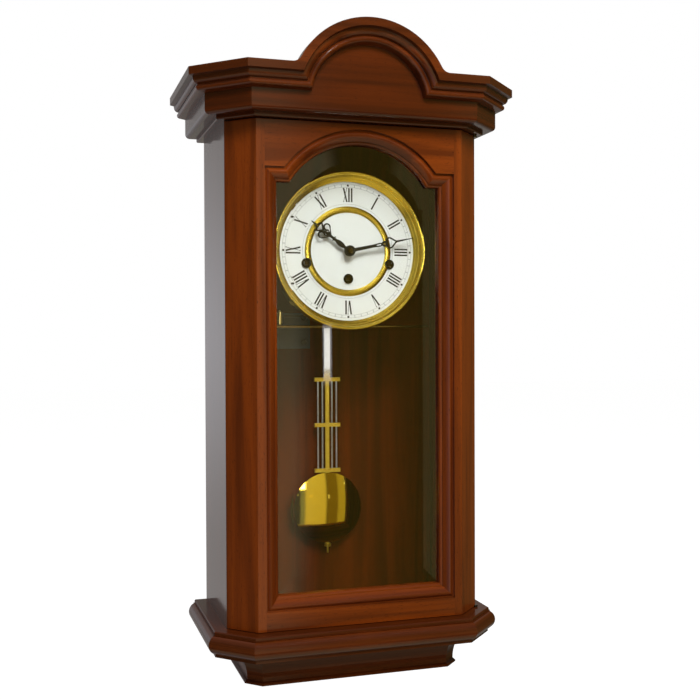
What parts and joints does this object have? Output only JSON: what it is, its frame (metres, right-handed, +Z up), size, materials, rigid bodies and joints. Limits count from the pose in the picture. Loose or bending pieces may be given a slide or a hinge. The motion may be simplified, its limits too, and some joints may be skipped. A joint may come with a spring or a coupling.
{
  "type": "chiming wall clock",
  "caption": "Wall clock in a canted wooden case: arched crown, glazed door, round dial with Roman numerals, gridiron-style pendulum, chime rods and hammers.",
  "frame": {"origin": "centre of the hanging hole at the top of the back, on the wall plane's side", "axes": "+Z up, -Y out of the wall towards the viewer, +X to the right seen from the front"},
  "size_m": [0.3752, 0.2046, 0.72],
  "materials": {
    "case_wood": "gloss",
    "side_wood": "gloss",
    "back_wood": "satin",
    "stile_wood": "gloss",
    "rail_wood": "gloss",
    "case_brass": "polished",
    "movement_brass": "satin",
    "pendulum_brass": "polished",
    "bright_steel": "satin",
    "zinc_steel": "satin",
    "block_iron": "satin",
    "dial_paint": "matte",
    "hand_paint": "satin",
    "rim_paint": "gloss",
    "clear_glass": "gloss",
    "catch_plastic": "matte"
  },
  "bodies": {
    "case": {"back_panel": "back_wood", "left_side": "side_wood", "right_side": "side_wood", "top_board": "case_wood", "plinth": "case_wood", "pedestal": "case_wood", "frieze": "case_wood", "crown_moulding": "case_wood", "hanger_plate": "zinc_steel", "case_screws": "zinc_steel", "case_hinge_leaves": "case_brass", "magnet_catch": "catch_plastic", "movement_brackets": "zinc_steel", "rod_block": "block_iron", "chime_rods": "case_brass", "front_plate": "movement_brass", "back_plate": "movement_brass", "plate_pillars": "movement_brass", "pillar_nuts": "movement_brass", "dial_plate": "dial_paint", "dial_centre_ring": "case_brass", "bezel": "case_brass", "winding_grommets": "rim_paint", "hammer_arbor": "bright_steel"},
    "door": {"door_left_stile": "stile_wood", "door_right_stile": "stile_wood", "door_top_rail": "rail_wood", "door_bottom_rail": "rail_wood", "door_glass": "clear_glass", "glazing_strips": "rail_wood", "door_hinge_leaves": "case_brass", "catch_plate": "zinc_steel", "door_screws": "case_brass"},
    "minute_group": {"minute_hand": "hand_paint", "hand_nut": "case_brass", "centre_arbor": "bright_steel"},
    "hour_group": {"hour_hand": "hand_paint", "hour_wheel": "movement_brass"},
    "motion_wheel": {"minute_wheel": "movement_brass"},
    "time_drive": {"time_barrel": "movement_brass"},
    "chime_drive": {"chime_barrel": "movement_brass"},
    "strike_drive": {"strike_barrel": "movement_brass"},
    "time_key_arbor": {"time_winding_arbor": "bright_steel"},
    "chime_key_arbor": {"chime_winding_arbor": "bright_steel"},
    "strike_key_arbor": {"strike_winding_arbor": "bright_steel"},
    "intermediate": {"intermediate_wheel": "movement_brass"},
    "third": {"third_wheel": "movement_brass"},
    "escape": {"escape_wheel": "movement_brass"},
    "rocker": {"anchor": "bright_steel"},
    "pendulum": {"suspension_spring": "bright_steel", "pendulum_rod": "pendulum_brass", "pendulum_crossbars": "pendulum_brass", "pendulum_steel_rods": "bright_steel"},
    "bob": {"pendulum_bob": "pendulum_brass"},
    "nut": {"rating_nut": "pendulum_brass"},
    "mallet_1": {"hammer_1": "movement_brass"},
    "mallet_2": {"hammer_2": "movement_brass"},
    "mallet_3": {"hammer_3": "movement_brass"},
    "mallet_4": {"hammer_4": "movement_brass"},
    "drum": {"chime_drum": "movement_brass"}
  },
  "joints": [
    {"name": "door_swing", "type": "hinge", "parent": "case", "child": "door", "pos_m": [0.1476, -0.135, -0.292], "axis": [0, 0, 1], "range_deg": [0, 110]},
    {"name": "third_turn", "type": "hinge", "parent": "case", "child": "third", "pos_m": [0, -0.07, -0.13125], "axis": [0, 1, 0], "continuous": true},
    {"name": "minute_turn", "type": "hinge", "parent": "case", "child": "minute_group", "pos_m": [0, -0.07, -0.152], "axis": [0, 1, 0], "continuous": true},
    {"name": "hour_turn", "type": "hinge", "parent": "case", "child": "hour_group", "pos_m": [0, -0.07, -0.152], "axis": [0, 1, 0], "continuous": true},
    {"name": "motion_wheel_turn", "type": "hinge", "parent": "case", "child": "motion_wheel", "pos_m": [0.0099, -0.07, -0.1421], "axis": [0, 1, 0], "continuous": true},
    {"name": "intermediate_turn", "type": "hinge", "parent": "case", "child": "intermediate", "pos_m": [0.01943, -0.07, -0.16144], "axis": [0, 1, 0], "continuous": true},
    {"name": "time_barrel_turn", "type": "hinge", "parent": "case", "child": "time_drive", "pos_m": [0, -0.07, -0.1835], "axis": [0, 1, 0], "continuous": true},
    {"name": "escape_turn", "type": "hinge", "parent": "case", "child": "escape", "pos_m": [0, -0.07, -0.11145], "axis": [0, 1, 0], "continuous": true},
    {"name": "chime_barrel_turn", "type": "hinge", "parent": "case", "child": "chime_drive", "pos_m": [-0.0497, -0.07, -0.1663], "axis": [0, 1, 0], "continuous": true},
    {"name": "chime_drum_turn", "type": "hinge", "parent": "case", "child": "drum", "pos_m": [-0.041, -0.07, -0.19875], "axis": [0, 1, 0], "continuous": true},
    {"name": "strike_barrel_turn", "type": "hinge", "parent": "case", "child": "strike_drive", "pos_m": [0.0497, -0.07, -0.1663], "axis": [0, 1, 0], "continuous": true},
    {"name": "time_key_turn", "type": "hinge", "parent": "case", "child": "time_key_arbor", "pos_m": [0, -0.07, -0.1835], "axis": [0, 1, 0], "continuous": true},
    {"name": "chime_key_turn", "type": "hinge", "parent": "case", "child": "chime_key_arbor", "pos_m": [-0.0497, -0.07, -0.1663], "axis": [0, 1, 0], "continuous": true},
    {"name": "strike_key_turn", "type": "hinge", "parent": "case", "child": "strike_key_arbor", "pos_m": [0.0497, -0.07, -0.1663], "axis": [0, 1, 0], "continuous": true},
    {"name": "pendulum_swing", "type": "hinge", "parent": "case", "child": "pendulum", "pos_m": [0, -0.02, -0.09465], "axis": [0, 1, 0], "range_deg": [-4.5, 4.5]},
    {"name": "rocker_swing", "type": "hinge", "parent": "case", "child": "rocker", "pos_m": [0, -0.07, -0.09465], "axis": [0, 1, 0], "range_deg": [-4.5, 4.5]},
    {"name": "rating_nut_turn", "type": "hinge", "parent": "bob", "child": "nut", "pos_m": [0, -0.02, -0.5072], "axis": [0, 0, 1], "range_deg": [-2162, 0]},
    {"name": "bob_slide", "type": "slide", "parent": "pendulum", "child": "bob", "axis": [0, 0, 1], "range_m": [-0.003, 0]},
    {"name": "mallet_1_lift", "type": "hinge", "parent": "case", "child": "mallet_1", "pos_m": [-0.024, -0.06, -0.21], "axis": [0, 1, 0], "range_deg": [0, 12]},
    {"name": "mallet_2_lift", "type": "hinge", "parent": "case", "child": "mallet_2", "pos_m": [-0.024, -0.067, -0.21], "axis": [0, 1, 0], "range_deg": [0, 12]},
    {"name": "mallet_3_lift", "type": "hinge", "parent": "case", "child": "mallet_3", "pos_m": [-0.024, -0.074, -0.21], "axis": [0, 1, 0], "range_deg": [0, 12]},
    {"name": "mallet_4_lift", "type": "hinge", "parent": "case", "child": "mallet_4", "pos_m": [-0.024, -0.081, -0.21], "axis": [0, 1, 0], "range_deg": [0, 12]}
  ],
  "couplings": [
    {"joint": "minute_turn", "follows": "third_turn", "ratio": -0.10667},
    {"joint": "hour_turn", "follows": "third_turn", "ratio": -0.0088889},
    {"joint": "motion_wheel_turn", "follows": "third_turn", "ratio": 0.035556},
    {"joint": "intermediate_turn", "follows": "third_turn", "ratio": 0.021333},
    {"joint": "time_barrel_turn", "follows": "third_turn", "ratio": -0.0035556},
    {"joint": "escape_turn", "follows": "third_turn", "ratio": -10},
    {"joint": "chime_drum_turn", "follows": "chime_barrel_turn", "ratio": -3},
    {"joint": "rocker_swing", "follows": "pendulum_swing", "ratio": 1},
    {"joint": "rating_nut_turn", "follows": "bob_slide", "rad_per_m": 12566}
  ]
}
